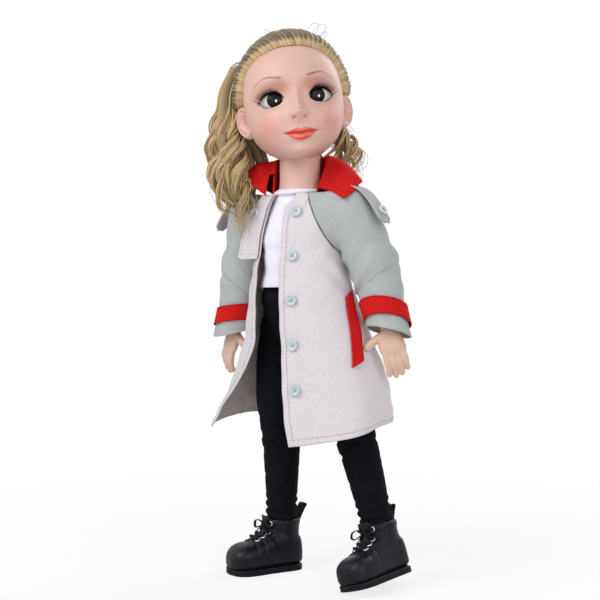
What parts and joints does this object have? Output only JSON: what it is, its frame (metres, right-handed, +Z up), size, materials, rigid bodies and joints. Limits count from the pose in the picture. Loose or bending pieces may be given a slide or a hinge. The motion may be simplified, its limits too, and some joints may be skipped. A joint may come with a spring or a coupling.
{
  "type": "dressed play doll",
  "caption": "Jointed vinyl play doll with a blonde ponytail, dressed in a long coat with red trim, a white T-shirt, black trousers and lace-up boots; it stands and holds poses.",
  "frame": {"origin": "middle of the doll's box, on the floor", "axes": "+Z up, the doll faces -Y, its left side is +X"},
  "size_m": [0.1488, 0.0896, 0.3624],
  "materials": {
    "vinyl": "satin vinyl",
    "peg_plastic": "moulded",
    "pin_steel": "plain",
    "eye": "glossy",
    "hair": "fine fibre",
    "shirt_cloth": "fine knit",
    "trouser_cloth": "fine knit",
    "sleeve_cloth": "woven",
    "red_cloth": "woven",
    "button": "semi-gloss",
    "coat_cloth": "woven",
    "sole": "matt",
    "lace": "flat braid",
    "boot_leather": "smooth"
  },
  "bodies": {
    "torso": {"torso_front": "vinyl", "torso_back": "vinyl", "neck_stem": "vinyl", "hip_pin": "pin_steel", "t_shirt": "shirt_cloth", "trouser_seat": "trouser_cloth", "coat_left_front": "coat_cloth", "coat_right_front": "coat_cloth", "coat_back": "coat_cloth", "raglan_left": "sleeve_cloth", "raglan_right": "sleeve_cloth", "collar": "red_cloth", "coat_button_1": "button", "coat_button_2": "button", "coat_button_3": "button", "coat_button_4": "button", "coat_button_5": "button", "storm_flap": "coat_cloth", "pocket_welt_left": "red_cloth", "pocket_welt_right": "red_cloth", "epaulette_left": "sleeve_cloth", "epaulette_right": "sleeve_cloth"},
    "neck_ball": {"neck_ball": "peg_plastic"},
    "head": {"head": "vinyl", "eye_left": "eye", "eye_right": "eye", "hair_cap": "hair", "ponytail": "hair"},
    "upper_arm_left": {"upper_arm_left": "vinyl", "elbow_pin_left": "pin_steel", "sleeve_upper_left": "sleeve_cloth"},
    "forearm_left": {"forearm_left": "vinyl", "sleeve_lower_left": "sleeve_cloth", "cuff_strap_left": "red_cloth"},
    "hand_left": {"hand_left": "vinyl"},
    "hip_knuckle_left": {"hip_knuckle_left": "peg_plastic"},
    "thigh_left": {"thigh_left": "vinyl", "knee_pin_left": "pin_steel", "trouser_thigh_left": "trouser_cloth"},
    "shin_left": {"shin_left": "vinyl", "trouser_shin_left": "trouser_cloth", "boot_sole_left": "sole", "boot_upper_left": "boot_leather", "boot_lace_left": "lace"},
    "upper_arm_right": {"upper_arm_right": "vinyl", "elbow_pin_right": "pin_steel", "sleeve_upper_right": "sleeve_cloth"},
    "forearm_right": {"forearm_right": "vinyl", "sleeve_lower_right": "sleeve_cloth", "cuff_strap_right": "red_cloth"},
    "hand_right": {"hand_right": "vinyl"},
    "hip_knuckle_right": {"hip_knuckle_right": "peg_plastic"},
    "thigh_right": {"thigh_right": "vinyl", "knee_pin_right": "pin_steel", "trouser_thigh_right": "trouser_cloth"},
    "shin_right": {"shin_right": "vinyl", "trouser_shin_right": "trouser_cloth", "boot_sole_right": "sole", "boot_upper_right": "boot_leather", "boot_lace_right": "lace"}
  },
  "joints": [
    {"name": "neck_tilt", "type": "hinge", "parent": "torso", "child": "neck_ball", "pos_m": [-0.00207, -0.00323, 0.279], "axis": [-0.6293, 0.7771, 0], "range_deg": [-3, 14], "deforming": ["ponytail"]},
    {"name": "neck_turn", "type": "hinge", "parent": "neck_ball", "child": "head", "pos_m": [-0.00207, -0.00323, 0.279], "axis": [-0.0745, -0.0603, 0.9954], "range_deg": [-100, 30]},
    {"name": "shoulder_left", "type": "hinge", "parent": "torso", "child": "upper_arm_left", "pos_m": [0.03693, -0.00323, 0.238], "axis": [-1, 0, 0], "range_deg": [-31, 109], "deforming": ["raglan_left", "epaulette_left"]},
    {"name": "elbow_left", "type": "hinge", "parent": "upper_arm_left", "child": "forearm_left", "pos_m": [0.04991, 0.00643, 0.19924], "axis": [-0.9511, 0.0748, -0.2998], "range_deg": [-14, 74], "deforming": ["sleeve_lower_left", "sleeve_upper_left"]},
    {"name": "wrist_left", "type": "hinge", "parent": "forearm_left", "child": "hand_left", "pos_m": [0.06088, 0.00601, 0.16433], "axis": [-0.2998, 0.0115, 0.9539], "range_deg": [-75, 75]},
    {"name": "hip_swing_left", "type": "hinge", "parent": "torso", "child": "hip_knuckle_left", "pos_m": [0.01893, 0.00327, 0.164], "axis": [-1, 0, 0], "range_deg": [-20, 65], "deforming": ["coat_left_front", "coat_back", "pocket_welt_left", "coat_button_4", "coat_button_5"]},
    {"name": "hip_spread_left", "type": "hinge", "parent": "hip_knuckle_left", "child": "thigh_left", "pos_m": [0.01893, 0.00327, 0.164], "axis": [0, -1, 0], "range_deg": [-15, 5]},
    {"name": "knee_left", "type": "hinge", "parent": "thigh_left", "child": "shin_left", "pos_m": [0.03912, 0.00327, 0.08866], "axis": [0.9513, -0.1736, 0.2549], "range_deg": [-2, 86], "deforming": ["trouser_shin_left", "trouser_thigh_left"]},
    {"name": "shoulder_right", "type": "hinge", "parent": "torso", "child": "upper_arm_right", "pos_m": [-0.04107, -0.00323, 0.238], "axis": [-1, 0, 0], "range_deg": [-35, 105], "deforming": ["raglan_right", "epaulette_right", "storm_flap"]},
    {"name": "elbow_right", "type": "hinge", "parent": "upper_arm_right", "child": "forearm_right", "pos_m": [-0.05265, 0.00378, 0.19824], "axis": [-0.9613, -0.0479, 0.2714], "range_deg": [-12, 76], "deforming": ["sleeve_lower_right", "sleeve_upper_right"]},
    {"name": "wrist_right", "type": "hinge", "parent": "forearm_right", "child": "hand_right", "pos_m": [-0.06252, 0.00226, 0.16303], "axis": [-0.2696, -0.0415, -0.9621], "range_deg": [-75, 75]},
    {"name": "hip_swing_right", "type": "hinge", "parent": "torso", "child": "hip_knuckle_right", "pos_m": [-0.02307, 0.00327, 0.164], "axis": [-1, 0, 0], "range_deg": [-20, 65], "deforming": ["coat_right_front", "trouser_seat", "pocket_welt_right"]},
    {"name": "hip_spread_right", "type": "hinge", "parent": "hip_knuckle_right", "child": "thigh_right", "pos_m": [-0.02307, 0.00327, 0.164], "axis": [0, 1, 0], "range_deg": [0, 20]},
    {"name": "knee_right", "type": "hinge", "parent": "thigh_right", "child": "shin_right", "pos_m": [-0.02307, 0.00327, 0.086], "axis": [0.9063, -0.4226, 0], "range_deg": [0, 88], "deforming": ["trouser_shin_right", "trouser_thigh_right"]}
  ]
}
